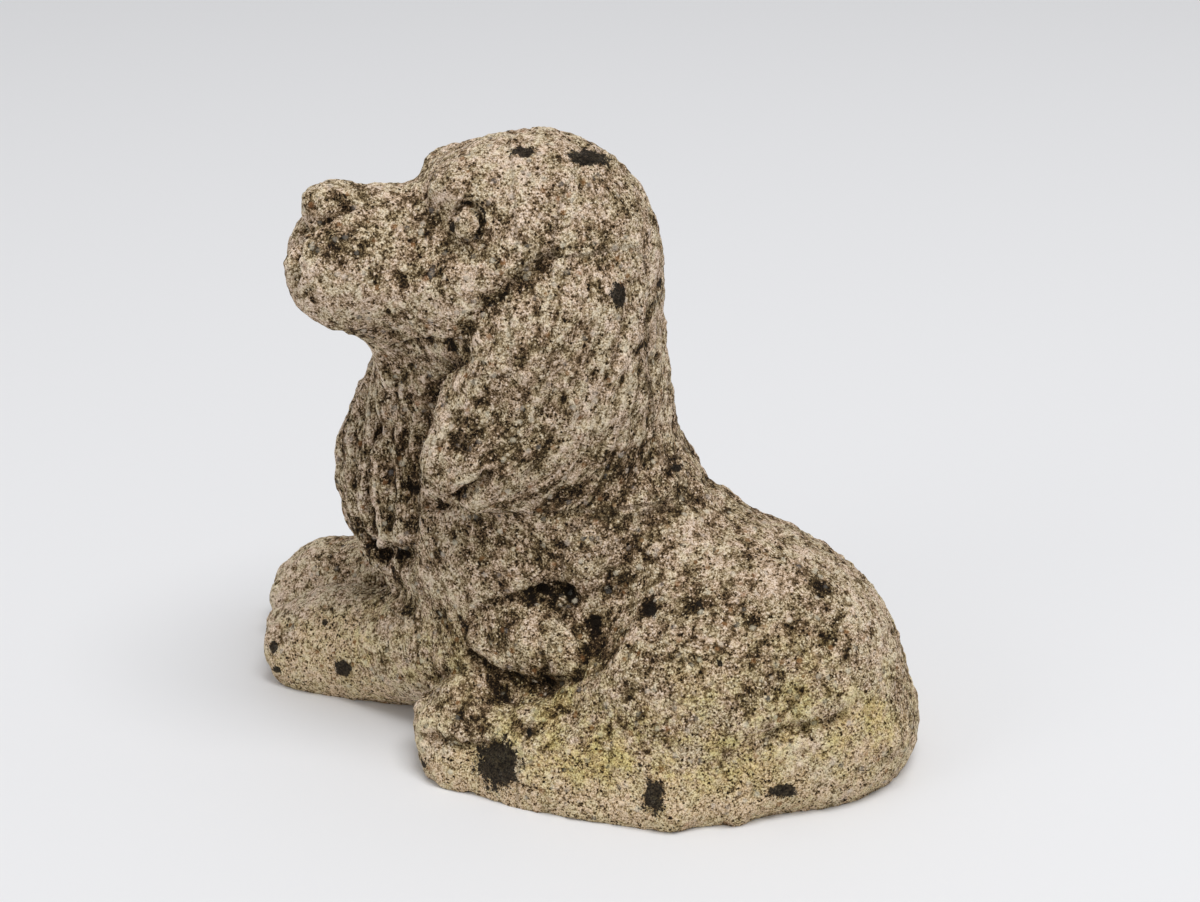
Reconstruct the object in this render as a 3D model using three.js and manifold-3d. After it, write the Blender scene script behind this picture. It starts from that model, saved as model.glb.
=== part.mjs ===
import * as THREE from "three";
import Module from "manifold-3d";

// A garden spaniel cast in one piece of reconstituted stone. It lies with its haunches folded
// and its forelegs out in front, its head raised and turned to its left.
// Millimetres, +Z up. The body faces -Y, the dog's left side is +X, and the origin is the middle
// of the underside.

// Driving dimensions.
const height = 258; // floor to crown
const length = 319; // forepaws to rump
const width = 184.5; // across the hind feet
const headTurn = 32; // degrees from straight ahead towards the dog's left

// Every place and size below is in shares, as (left, back, up), with the crown 101 shares up.
const share = height / 101;
const headCentre = [6, -7, 79];
const lockDepth = 0.8 * share; // of the grooves between the locks of hair
const cell = 3.7 * share; // spacing of the first surface points
const cellStray = 0.2; // share of a cell that its surface point may stray outside it
const faceEdge = 2.2 * share; // longest edge left on the face
const tolerance = 0.18 * share; // how far an edge's middle may stand off the true surface
const floorMargin = 0.5 * share; // no point is nearer to the floor before the base is cut flat
const gridReach = { side: 50 * share, ahead: 80 * share, behind: 70 * share, up: 115 * share };
const blockSize = 400 * share; // of the block that cuts the base flat

const bodyFrame = new THREE.Matrix4();
const headFrame = new THREE.Matrix4()
  .makeRotationZ(THREE.MathUtils.degToRad(headTurn))
  .setPosition(...headCentre.map((v) => v * share));

// The distance to an egg-shaped mass, negative inside. Its turn is about X, Y and Z, in degrees.
function egg(centre, radii, turn = [0, 0, 0], frame = bodyFrame) {
  const turned = new THREE.Matrix4().makeRotationFromEuler(
    new THREE.Euler(...turn.map(THREE.MathUtils.degToRad)),
  );
  turned.setPosition(...centre.map((v) => v * share));
  const e = new THREE.Matrix4().multiplyMatrices(frame, turned).invert().elements;
  const [a, b, c] = radii.map((v) => v * share);
  return (x, y, z) => {
    const u = (e[0] * x + e[4] * y + e[8] * z + e[12]) / a;
    const v = (e[1] * x + e[5] * y + e[9] * z + e[13]) / b;
    const w = (e[2] * x + e[6] * y + e[10] * z + e[14]) / c;
    const near = Math.sqrt(u * u + v * v + w * w);
    const slope = Math.hypot(u / a, v / b, w / c);
    return slope < 1e-9 ? -Math.min(a, b, c) : (near * (near - 1)) / slope;
  };
}

// The distance to a limb that tapers from one ball to another.
function limb(from, to, fromRadius, toRadius, frame = bodyFrame) {
  const start = new THREE.Vector3(...from).multiplyScalar(share).applyMatrix4(frame);
  const end = new THREE.Vector3(...to).multiplyScalar(share).applyMatrix4(frame);
  const along = end.clone().sub(start);
  const length2 = along.lengthSq();
  return (x, y, z) => {
    const px = x - start.x;
    const py = y - start.y;
    const pz = z - start.z;
    const t = (px * along.x + py * along.y + pz * along.z) / length2;
    const s = Math.min(1, Math.max(0, t));
    const gap = Math.hypot(px - s * along.x, py - s * along.y, pz - s * along.z);
    return gap - share * (fromRadius + (toRadius - fromRadius) * s);
  };
}

const headEgg = (centre, radii, turn = [0, 0, 0]) => egg(centre, radii, turn, headFrame);
const headLimb = (from, to, fromRadius, toRadius) => limb(from, to, fromRadius, toRadius, headFrame);

// Joins two distances with a fillet, and cuts the second out of the first with a soft edge.
function join(a, b, fillet) {
  const h = Math.max(fillet * share - Math.abs(a - b), 0) / (fillet * share);
  return Math.min(a, b) - h * h * fillet * share * 0.25;
}
const carve = (a, b, fillet) => -join(-a, b, fillet);

// Each step is [how, form, fillet], worked in order.
const add = (fillet, ...forms) => forms.map((form) => [join, form, fillet]);
const cut = (fillet, ...forms) => forms.map((form) => [carve, form, fillet]);
const bothSides = (make) => [1, -1].flatMap(make);

// The back, the ribs and the neck.
const trunk = [
  ...add(1, egg([0, 19, 14], [25, 34, 25.5])),
  ...add(6, egg([-0.7, 33.5, 5], [23.5, 21.5, 13])),
  ...add(10, egg([1, -10, 28], [20, 25, 24], [-12, 0, 4])),
  ...add(13, egg([2, -7, 53], [17.5, 19.5, 28], [4, 0, 0])),
  ...add(8, egg([0, 7.4, 35.4], [15, 12.4, 10.6])),
];

// The folded thighs, and the hind feet beside them.
const hindLegs = bothSides((side) => [
  ...add(5, egg([side * 16, 21, 12.5], [14.5, 20, 18.5], [-14, side * -8, 0])),
  ...add(3.5, limb([side * 22.4, 24, 4], [side * 26, 2, 4], 11, 10.6)),
  ...add(3, egg([side * 26, -9.5, 4], [10, 9.7, 11.5])),
]);

// The left forepaw lies level with the chest, and the right one a little ahead of it.
const forelegs = [
  ...add(6, egg([14.5, -13, 30], [9, 13, 14]), egg([-14, -12, 30], [9, 13, 14])),
  ...add(3, limb([15, -6, 18], [9.5, -40, 6.5], 11.5, 9.6), limb([-14, -8, 19], [-9, -49, 8], 11.5, 10.2)),
  ...add(2.5, egg([9, -48, 4.5], [10.3, 11, 10.5]), egg([-8.5, -57, 6], [10, 11, 10.6])),
];

// Each paw ends in a row of toes: its middle, its lean to the left in degrees, and its reach.
const paws = [
  [[9, -48], 9, 7.8],
  [[-7.5, -57.5], 9, 7.2],
  [[26, -10], 12, 6.4],
  [[-26, -10], -12, 6.4],
];
const toeRadii = [3.7, 4, 6.6];
const toeTilt = 18; // degrees forward
const toeFan = [-42, 0, 42]; // degrees
const toes = paws.flatMap(([[x, y], lean, out]) =>
  toeFan.flatMap((fan) => {
    const way = THREE.MathUtils.degToRad(fan + lean);
    const toe = [x + out * Math.sin(way), y - out * Math.cos(way), 5];
    return add(0.8, egg(toe, toeRadii, [toeTilt, 0, fan + lean]));
  }),
);

// The valley between the ribs and the thigh.
const flanks = bothSides((side) =>
  cut(6, limb([side * 24.4, 10, 24], [side * 15, 16, 42], 2.5, 2)),
);

// The tufted elbow overhangs the hind foot, with a hollow behind and above it.
const elbows = bothSides((side) => [
  ...cut(3, egg([side * 23.5, 6.4, 27], [4, 5.6, 3.8])),
  ...add(1.6, egg([side * 19, -3.2, 20.5], [8, 11.8, 7.2], [6, 0, 0])),
]);

const chest = add(5, egg([5.5, -29, 40], [13.5, 15.5, 22], [0, 0, 12]), egg([9, -24, 62], [11, 11, 13]));
const tail = add(1.5, limb([3, 50, 8.5], [23.2, 33.4, 3.2], 5.8, 5.5));

// The skull, the nape, the brow, the bridge of the nose and the lower jaw.
const skull = [
  ...add(4, headEgg([0, -0.9, 1], [16.5, 19.6, 20.7])),
  ...add(8, headEgg([0, 2.5, -14], [14, 15, 19])),
  ...add(4, headEgg([0, -10, 10.1], [11, 9, 9.2])),
  ...add(4, headLimb([0, -12, 6.5], [0, -30, 7], 8, 7)),
  ...add(4, headEgg([0, -21.5, -5], [8.6, 13.6, 8.2], [-9, 0, 0])),
];

// The flews, cheeks, eyes and brows, and the pad of the nose over the flews.
const face = [
  ...bothSides((side) => [
    ...add(2, headEgg([side * 5.6, -29.8, 1.2], [7, 10.4, 9.2])),
    ...add(5, headEgg([side * 9, -11, -1], [6.2, 12, 9])),
    ...add(2.5, headEgg([side * 6.6, -14, 15], [4.2, 4.2, 3])),
    ...cut(4, headEgg([side * 13.6, -14.6, 10.2], [2.6, 4.6, 4])),
    ...add(1, headEgg([side * 10.2, -12, 10], [3, 3, 2.9])),
    ...cut(1, headEgg([side * 2.6, -36.6, 10.2], [1.2, 2.2, 1])),
  ]),
  ...add(1.6, headEgg([0, -32.6, 10.6], [5.6, 4.6, 4])),
];

// The ears hang from low on the skull and fan out to the front over the neck.
const ears = bothSides((side) => [
  ...add(7, headEgg([side * 9, -3, -17], [9, 12, 20])),
  ...add(6, headEgg([side * 13, 4, -13], [5, 9, 15])),
  ...add(2.2, headEgg([side * 14.6, -3, -8.5], [6, 8.3, 15], [-41, 0, 0])),
  ...add(2.2, headEgg([side * 14.4, -7.6, -21], [5.8, 11, 13], [-14, side * -4, 0])),
  ...add(3, headEgg([side * 13.8, -12.6, -27.4], [5.2, 8.2, 7.4])),
]);

const steps = [
  ...trunk, ...hindLegs, ...flanks, ...chest, ...forelegs, ...toes, ...elbows, ...tail, ...skull,
  ...ears, ...face,
];

// Locks of hair: waving grooves, spaced along one direction and running down the form, that fade
// out at the edges of an egg-shaped patch.
const lockFade = 5 * share; // over which a lock dies out
const lockWave = 0.24; // share of a lock's width that it swings
const lockCrest = 0.6; // share of a groove's depth that is pressed in, the rest stands out
function lockPattern(frame, centre, radii, spaced, width, waveHeight) {
  const within = egg(centre, radii, [0, 0, 0], frame);
  const back = new THREE.Matrix4().copy(frame).invert();
  const along = new THREE.Vector3(...spaced).normalize();
  const at = new THREE.Vector3();
  return (x, y, z) => {
    const fade = THREE.MathUtils.clamp(-within(x, y, z) / lockFade, 0, 1);
    if (fade === 0) return 0;
    at.set(x, y, z).applyMatrix4(back).multiplyScalar(1 / share);
    const wave = lockWave * Math.sin((2 * Math.PI * at.z) / waveHeight);
    const crest = Math.abs(Math.cos(Math.PI * (at.dot(along) / width + wave)));
    return fade * lockDepth * (lockCrest - crest);
  };
}
const locks = [
  ...bothSides((side) =>
    lockPattern(headFrame, [side * 20, -8, -17], [9, 17, 24], [0, 1, -0.3], 6.5, 19),
  ),
  lockPattern(bodyFrame, [2, -52, 38], [18, 20, 20], [1, 0.5, 0.1], 6, 23),
];

function distance(x, y, z) {
  let d = Infinity;
  for (const [how, form, fillet] of steps) {
    const f = form(x, y, z);
    d = d === Infinity ? f : how(d, f, fillet);
  }
  if (Math.abs(d) < cell) for (const lock of locks) d += lock(x, y, z);
  return d;
}

// Grid lines from low to high.
function gridLines(low, high, step) {
  const lines = [low];
  while (lines.at(-1) < high) lines.push(lines.at(-1) + step);
  return lines;
}

// Closes a surface round where the distance is zero: one point in each grid cell that the
// surface crosses, drawn onto it, and one four-sided face for each grid edge that it cuts.
function surfaceOf(field, xs, ys, zs) {
  const nx = xs.length;
  const ny = ys.length;
  const nz = zs.length;
  const at = (i, j, k) => i + nx * (j + ny * k);
  const value = new Float64Array(nx * ny * nz);
  for (let k = 0; k < nz; k++)
    for (let j = 0; j < ny; j++)
      for (let i = 0; i < nx; i++) value[at(i, j, k)] = field(xs[i], ys[j], zs[k]);

  fillPinches(value, [1, nx, nx * ny]);

  const points = [];
  const pointOf = new Int32Array(nx * ny * nz).fill(-1);
  const corners = [0, 1, 2, 3, 4, 5, 6, 7].map((n) => [n & 1, (n >> 1) & 1, (n >> 2) & 1]);
  for (let k = 0; k + 1 < nz; k++)
    for (let j = 0; j + 1 < ny; j++)
      for (let i = 0; i + 1 < nx; i++) {
        const sum = [0, 0, 0];
        let crossings = 0;
        for (const [a, b, c] of corners) {
          const here = value[at(i + a, j + b, k + c)];
          for (const [da, db, dc] of [[1, 0, 0], [0, 1, 0], [0, 0, 1]]) {
            if (a + da > 1 || b + db > 1 || c + dc > 1) continue;
            const there = value[at(i + a + da, j + b + db, k + c + dc)];
            if (here < 0 === there < 0) continue;
            const t = here / (here - there);
            sum[0] += xs[i + a] + t * da * (xs[i + 1] - xs[i]);
            sum[1] += ys[j + b] + t * db * (ys[j + 1] - ys[j]);
            sum[2] += zs[k + c] + t * dc * (zs[k + 1] - zs[k]);
            crossings++;
          }
        }
        if (!crossings) continue;
        pointOf[at(i, j, k)] = points.length / 3;
        const drawn = drawnOnto(field, sum.map((v) => v / crossings));
        points.push(
          held(drawn[0], xs[i], xs[i + 1]),
          held(drawn[1], ys[j], ys[j + 1]),
          held(drawn[2], zs[k], zs[k + 1]),
        );
      }

  const faces = [];
  const quad = (a, b, c, d, turned) => {
    const [p, q, r, s] = turned ? [a, d, c, b] : [a, b, c, d];
    if (apart(points, p, r) < apart(points, q, s)) faces.push(p, q, r, p, r, s);
    else faces.push(q, r, s, q, s, p);
  };
  for (let k = 1; k + 1 < nz; k++)
    for (let j = 1; j + 1 < ny; j++)
      for (let i = 1; i + 1 < nx; i++) {
        const here = value[at(i, j, k)] < 0;
        const cellPoint = (a, b, c) => pointOf[at(i + a, j + b, k + c)];
        const [near, mid] = [-1, 0];
        if (here !== value[at(i + 1, j, k)] < 0)
          quad(cellPoint(mid, near, near), cellPoint(mid, mid, near), cellPoint(mid, mid, mid),
            cellPoint(mid, near, mid), !here);
        if (here !== value[at(i, j + 1, k)] < 0)
          quad(cellPoint(near, mid, near), cellPoint(near, mid, mid), cellPoint(mid, mid, mid),
            cellPoint(mid, mid, near), !here);
        if (here !== value[at(i, j, k + 1)] < 0)
          quad(cellPoint(near, near, mid), cellPoint(mid, near, mid), cellPoint(mid, mid, mid),
            cellPoint(near, mid, mid), !here);
      }
  return { points, faces };
}

// Where two opposite corners of a grid face are inside and the other two outside, the surface
// would meet itself along an edge, so the outer corner nearest to it is taken as inside.
function fillPinches(value, [right, behind, above]) {
  const justInside = -1e-3;
  const faceSides = [[right, behind], [right, above], [behind, above]];
  let filled = true;
  while (filled) {
    filled = false;
    for (let n = 0; n + behind + above < value.length; n++)
      for (const [s, t] of faceSides) {
        const ring = [n, n + s, n + s + t, n + t];
        const [a, b, c, d] = ring.map((m) => value[m] < 0);
        if (a !== c || b !== d || a === b) continue;
        const outer = ring.filter((m) => value[m] >= 0);
        value[value[outer[0]] < value[outer[1]] ? outer[0] : outer[1]] = justInside;
        filled = true;
      }
  }
}

// Keeps a place in its cell, or near it.
const held = (place, low, high) =>
  THREE.MathUtils.clamp(place, low - cellStray * (high - low), high + cellStray * (high - low));

const apart = (points, m, n) =>
  Math.hypot(...[0, 1, 2].map((w) => points[3 * m + w] - points[3 * n + w]));

// Moves a point down the field's slope onto the surface.
function drawnOnto(field, [x, y, z]) {
  const reach = 0.05;
  const gentlest = 0.25; // least slope, squared, so that no step runs away
  for (let pass = 0; pass < 3; pass++) {
    const d = field(x, y, z);
    const gx = (field(x + reach, y, z) - field(x - reach, y, z)) / (2 * reach);
    const gy = (field(x, y + reach, z) - field(x, y - reach, z)) / (2 * reach);
    const gz = (field(x, y, z + reach) - field(x, y, z - reach)) / (2 * reach);
    const slope2 = Math.max(gx * gx + gy * gy + gz * gz, gentlest);
    x -= (d * gx) / slope2;
    y -= (d * gy) / slope2;
    z -= (d * gz) / slope2;
  }
  return [x, y, z];
}

// The same for an edge's middle, which stays where it is if it would land near the edge's ends.
function drawnClear(field, m, edge) {
  const drawn = drawnOnto(field, m);
  const farthest = 0.3 * edge;
  return Math.hypot(...drawn.map((v, w) => v - m[w])) < farthest ? drawn : m;
}

// Splits each edge whose middle stands off the surface by more than the tolerance, and each long
// one on the face, and draws the new points onto the surface.
function refined(field, { points, faces }) {
  const moved = [...points];
  const middles = new Map();
  const middle = (a, b) => {
    const key = Math.min(a, b) * points.length + Math.max(a, b);
    if (!middles.has(key)) {
      const m = [0, 1, 2].map((w) => (points[3 * a + w] + points[3 * b + w]) / 2);
      const long = onFace(...m) < 0 && apart(points, a, b) > faceEdge;
      const wanted = long || Math.abs(field(...m)) > tolerance;
      middles.set(key, wanted ? moved.length / 3 : -1);
      if (wanted) moved.push(...drawnClear(field, m, apart(points, a, b)));
    }
    return middles.get(key);
  };
  const out = [];
  for (let n = 0; n < faces.length; n += 3) {
    let [a, b, c] = faces.slice(n, n + 3);
    const split = [middle(a, b), middle(b, c), middle(c, a)];
    const count = split.filter((m) => m >= 0).length;
    // Turn the face round until its one split edge, or its one whole edge, comes where it is
    // wanted: the first edge split, or the last edge whole.
    while ((count === 1 && split[0] < 0) || (count === 2 && split[2] >= 0)) {
      [a, b, c] = [b, c, a];
      split.push(split.shift());
    }
    const [ab, bc, ca] = split;
    if (count === 0) out.push(a, b, c);
    if (count === 1) out.push(a, ab, c, ab, b, c);
    if (count === 3) out.push(a, ab, ca, ab, b, bc, ca, bc, c, ab, bc, ca);
    if (count === 2) {
      out.push(ab, b, bc);
      if (apart(moved, ab, c) < apart(moved, a, bc)) out.push(a, ab, c, ab, bc, c);
      else out.push(a, ab, bc, a, bc, c);
    }
  }
  return { points: moved, faces: out };
}

const onFace = headEgg([0, -22, 9], [17, 20, 10]);

const wasm = await Module();
wasm.setup();

const solidOf = ({ points, faces }) =>
  new wasm.Manifold(new wasm.Mesh({
    numProp: 3, vertProperties: new Float32Array(points), triVerts: new Uint32Array(faces),
  }));

// The ground that the statue is cut off on: a block under the floor.
function groundBlock(size) {
  const block = new THREE.BoxGeometry(size, size, size).translate(0, 0, -size / 2);
  const source = block.getAttribute("position");
  const points = [];
  const seen = new Map();
  const faces = [];
  for (const n of block.index.array) {
    const key = [source.getX(n), source.getY(n), source.getZ(n)].join();
    if (!seen.has(key)) {
      seen.set(key, points.length / 3);
      points.push(source.getX(n), source.getY(n), source.getZ(n));
    }
    faces.push(seen.get(key));
  }
  return solidOf({ points, faces });
}

const xs = gridLines(-gridReach.side, gridReach.side, cell);
const ys = gridLines(-gridReach.ahead, gridReach.behind, cell);
const zs = gridLines(-2 * cell, gridReach.up, cell);
const closedBelow = (x, y, z) => Math.max(distance(x, y, z), -z - cell);
let surface = surfaceOf(closedBelow, xs, ys, zs);
for (let pass = 0; pass < 2; pass++) surface = refined(closedBelow, surface);
surface.points = surface.points.map((v, n) =>
  n % 3 === 2 && Math.abs(v) < floorMargin ? Math.sign(v || 1) * floorMargin : v,
);
const standing = solidOf(surface).subtract(groundBlock(blockSize));
const cast = standing.getMesh();

const geometry = new THREE.BufferGeometry()
  .setAttribute("position", new THREE.BufferAttribute(cast.vertProperties.slice(), 3))
  .setIndex(new THREE.BufferAttribute(cast.triVerts.slice(), 1));
geometry.computeBoundingBox();
const middleOf = geometry.boundingBox.getCenter(new THREE.Vector3());
const span = geometry.boundingBox.getSize(new THREE.Vector3());
geometry.translate(-middleOf.x, -middleOf.y, 0);
geometry.scale(width / span.x, length / span.y, height / span.z);
const stone = new THREE.MeshStandardMaterial({ color: 0x9b9078, roughness: 0.95, metalness: 0 });
const spaniel = new THREE.Mesh(geometry, stone);
spaniel.name = "spaniel";

const statue = new THREE.Group();
statue.add(spaniel);

export default statue;
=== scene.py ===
import math
import random

import bmesh
import bpy
import numpy as np
from mathutils import Matrix, Vector, kdtree, noise
from mathutils.bvhtree import BVHTree


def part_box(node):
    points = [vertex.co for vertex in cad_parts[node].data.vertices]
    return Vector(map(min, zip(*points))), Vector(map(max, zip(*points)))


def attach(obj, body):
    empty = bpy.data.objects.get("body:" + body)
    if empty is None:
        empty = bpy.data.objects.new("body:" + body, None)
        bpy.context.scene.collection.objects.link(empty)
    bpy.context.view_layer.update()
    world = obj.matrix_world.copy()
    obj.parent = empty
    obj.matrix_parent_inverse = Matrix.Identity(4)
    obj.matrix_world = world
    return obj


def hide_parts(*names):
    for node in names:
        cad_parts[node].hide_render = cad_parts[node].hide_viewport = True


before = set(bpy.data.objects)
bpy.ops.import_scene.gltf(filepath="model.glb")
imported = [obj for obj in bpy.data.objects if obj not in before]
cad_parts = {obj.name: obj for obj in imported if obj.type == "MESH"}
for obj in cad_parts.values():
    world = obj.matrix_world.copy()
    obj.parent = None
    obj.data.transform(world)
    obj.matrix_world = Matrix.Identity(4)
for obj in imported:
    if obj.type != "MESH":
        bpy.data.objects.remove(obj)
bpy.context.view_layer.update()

# A garden spaniel in one piece of coarse cast stone. Metres, +Z up, the dog's left side is +X.
millimetre = 0.001
boxLow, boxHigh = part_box("spaniel")


# Camera, at the photograph's place.
photoCamera = {
    "azimuth": 116,  # degrees
    "elevation": 22,
    "distance": 1.0,
    "aim": (0.0, 0.0169, 0.120),
    "lens": 72,
    "sensor": 36,
    "imageSize": (1200, 902),
}


def makeCamera(settings):
    azimuth = math.radians(settings["azimuth"])
    elevation = math.radians(settings["elevation"])
    away = Vector((
        math.sin(azimuth) * math.cos(elevation),
        -math.cos(azimuth) * math.cos(elevation),
        math.sin(elevation),
    ))
    data = bpy.data.cameras.new("photoCamera")
    data.lens = settings["lens"]
    data.sensor_width = settings["sensor"]
    data.sensor_fit = "HORIZONTAL"
    data.clip_start = 0.01
    camera = bpy.data.objects.new("photoCamera", data)
    camera.location = Vector(settings["aim"]) + settings["distance"] * away
    camera.rotation_euler = away.to_track_quat("Z", "Y").to_euler()
    bpy.context.scene.collection.objects.link(camera)
    bpy.context.scene.camera = camera
    bpy.context.view_layer.update()
    return camera


camera = makeCamera(photoCamera)
print("camera placed")


# Floor and light.
studio = {
    "floorRadius": 9.0,
    "floorColour": (0.822, 0.827, 0.842, 1),
    "floorRoughness": 0.75,
    "floorSpecular": 0.2,
    "skyColour": (0.83, 0.83, 0.84, 1),
    "skyStrength": 0.575,
    "lampsFace": (0, 0, 0.1),
    # name: place, size and power in watts
    "lamps": {
        "overheadLamp": ((0.7, 1.2, 3.8), 2.4, 97),
        "sideLamp": ((2.6, -1.4, 1.6), 1.6, 9),
    },
}


def makeStudio(settings):
    floorMesh = bmesh.new()
    bmesh.ops.create_circle(
        floorMesh, cap_ends=True, segments=64, radius=settings["floorRadius"]
    )
    data = bpy.data.meshes.new("floor")
    floorMesh.to_mesh(data)
    floorMesh.free()
    floor = bpy.data.objects.new("floor", data)
    bpy.context.scene.collection.objects.link(floor)
    paint = bpy.data.materials.new("paleFloor")
    paint.use_nodes = True
    shader = paint.node_tree.nodes["Principled BSDF"]
    shader.inputs["Base Color"].default_value = settings["floorColour"]
    shader.inputs["Roughness"].default_value = settings["floorRoughness"]
    shader.inputs["Specular IOR Level"].default_value = settings["floorSpecular"]
    data.materials.append(paint)
    sky = bpy.data.worlds.new("softSky")
    sky.use_nodes = True
    background = sky.node_tree.nodes["Background"]
    background.inputs["Color"].default_value = settings["skyColour"]
    background.inputs["Strength"].default_value = settings["skyStrength"]
    bpy.context.scene.world = sky
    for name, (place, size, power) in settings["lamps"].items():
        lampData = bpy.data.lights.new(name, "AREA")
        lampData.shape = "DISK"
        lampData.size = size
        lampData.energy = power
        lamp = bpy.data.objects.new(name, lampData)
        lamp.location = place
        away = Vector(place) - Vector(settings["lampsFace"])
        lamp.rotation_euler = away.to_track_quat("Z", "Y").to_euler()
        bpy.context.scene.collection.objects.link(lamp)
    bpy.context.scene.view_settings.view_transform = "Standard"


makeStudio(studio)
print("studio ready")


# The statue: a copy of the solid, remeshed evenly, eased off its facets, then carved.
body = {
    "spacing": 1.66,  # millimetres between points
    "easing": 7,  # passes that take the facets off
    "easeIn": 0.62,  # share of each pass towards the neighbours' mean, and of the one back
    "easeBack": -0.5,
    "floorBand": 0.4,  # points under this share of the spacing are on the floor
    "headCentre": (15.4, -1.0, 202.2),  # millimetres
    "headTurn": 32,  # degrees to the dog's left
}


def remeshed(source, spacing):
    work = bmesh.new()
    work.from_mesh(source.data)
    bmesh.ops.remove_doubles(work, verts=work.verts, dist=1e-6)
    data = bpy.data.meshes.new("carving")
    work.to_mesh(data)
    work.free()
    rough = bpy.data.objects.new("carving", data)
    bpy.context.scene.collection.objects.link(rough)
    remesh = rough.modifiers.new("evenSkin", "REMESH")
    remesh.mode = "VOXEL"
    remesh.voxel_size = spacing * millimetre
    shown = rough.evaluated_get(bpy.context.evaluated_depsgraph_get())
    even = bpy.data.meshes.new_from_object(shown)
    bpy.data.objects.remove(rough)
    return even


# The skin's points, and which of them are joined.
def readLinks():
    links = np.empty(2 * len(skin.edges), int)
    skin.edges.foreach_get("vertices", links)
    total = len(skin.vertices)
    return total, links.reshape(-1, 2), np.bincount(links, minlength=total)


skin = remeshed(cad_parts["spaniel"], body["spacing"])
count, edges, neighbours = readLinks()
print("skin remeshed:", count, "points")


def readPlaces():
    places = np.empty(3 * count)
    skin.vertices.foreach_get("co", places)
    return places.reshape(-1, 3) / millimetre


def writePlaces(places):
    skin.vertices.foreach_set("co", (places * millimetre).ravel())
    skin.update()


def readNormals():
    normals = np.empty(3 * count)
    skin.vertex_normals.foreach_get("vector", normals)
    return normals.reshape(-1, 3)


# Each value is drawn towards the mean of its neighbours.
def eased(values, passes, share=0.6):
    values = values.copy()
    columns = [values] if values.ndim == 1 else [values[:, axis] for axis in range(3)]
    for _ in range(passes):
        for column in columns:
            total = np.bincount(edges[:, 0], column[edges[:, 1]], count)
            total += np.bincount(edges[:, 1], column[edges[:, 0]], count)
            column += share * (total / neighbours - column)
    return values


places = readPlaces()
onFloor = places[:, 2] < body["floorBand"] * body["spacing"]
for _ in range(body["easing"]):
    places = eased(places, 1, body["easeIn"])
    places = eased(places, 1, body["easeBack"])
places[onFloor, 2] = 0
writePlaces(places)


# The photograph's pixels, seen from the camera, as places on the skin in millimetres.
def seenAt(pixel):
    wide, tall = photoCamera["imageSize"]
    perPixel = photoCamera["sensor"] / photoCamera["lens"] / wide
    ray = Vector(((pixel[0] - wide / 2) * perPixel, (tall / 2 - pixel[1]) * perPixel, -1))
    matrix = camera.matrix_world
    start = matrix.translation
    hit = tree.ray_cast(start, (matrix.to_3x3() @ ray).normalized())[0]
    return None if hit is None else np.array(hit) / millimetre


def skinTree():
    work = bmesh.new()
    work.from_mesh(skin)
    tree = BVHTree.FromBMesh(work)
    work.free()
    return tree


tree = skinTree()
headMatrix = Matrix.Translation(body["headCentre"]) @ Matrix.Rotation(
    math.radians(body["headTurn"]), 4, "Z"
)
toHead = np.array(headMatrix.inverted())


def inHead(points):
    return points @ toHead[:3, :3].T + toHead[:3, 3]


# The same place on the dog's other side, on the skin.
def otherSide(point, part):
    if part == "head":
        local = inHead(point)
        local[0] *= -1
        turned = headMatrix @ Vector(local)
    else:
        turned = Vector((-point[0], point[1], point[2]))
    return np.array(tree.find_nearest(turned * millimetre)[0]) / millimetre


# A place, with the same place on the other side where there is to be one.
def bothSides(point, part):
    return [point, otherSide(point, part)] if part else [point]


def distanceToLine(points, line):
    best = np.full(len(points), np.inf)
    for start, end in zip(line[:-1], line[1:]):
        along = end - start
        share = np.clip((points - start) @ along / max(along @ along, 1e-9), 0, 1)
        away = points - start - share[:, None] * along
        best = np.minimum(best, np.linalg.norm(away, axis=1))
    return best


# The skin is finer round the eyes and the nose.
# name: pixel, radius in millimetres, times halved
fineAreas = {
    "eyes": ((466, 224), 11.0, 2),
    "nose": ((318, 238), 21.0, 1),
}


def refine(pixel, radius, times):
    work = bmesh.new()
    work.from_mesh(skin)
    point = seenAt(pixel)
    for each in bothSides(point, "head"):
        middle = Vector(each * millimetre)
        for _ in range(times):
            close = [
                edge for edge in work.edges
                if ((edge.verts[0].co + edge.verts[1].co) / 2 - middle).length < radius * millimetre
            ]
            bmesh.ops.subdivide_edges(work, edges=close, cuts=1, use_grid_fill=True)
    work.to_mesh(skin)
    work.free()


coarseCount = count
for pixel, radius, times in fineAreas.values():
    refine(pixel, radius, times)
count, edges, neighbours = readLinks()
places = readPlaces()
places[coarseCount:] = eased(places, 3)[coarseCount:]
onFloor = places[:, 2] < 0.01
writePlaces(places)
tree = skinTree()
print("skin refined round the face:", count, "points")


# Gradient noise of many places at once, from -1 to 1.
def noiseAt(coordinates):
    return np.array([noise.noise(row) for row in coordinates.tolist()])


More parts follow.
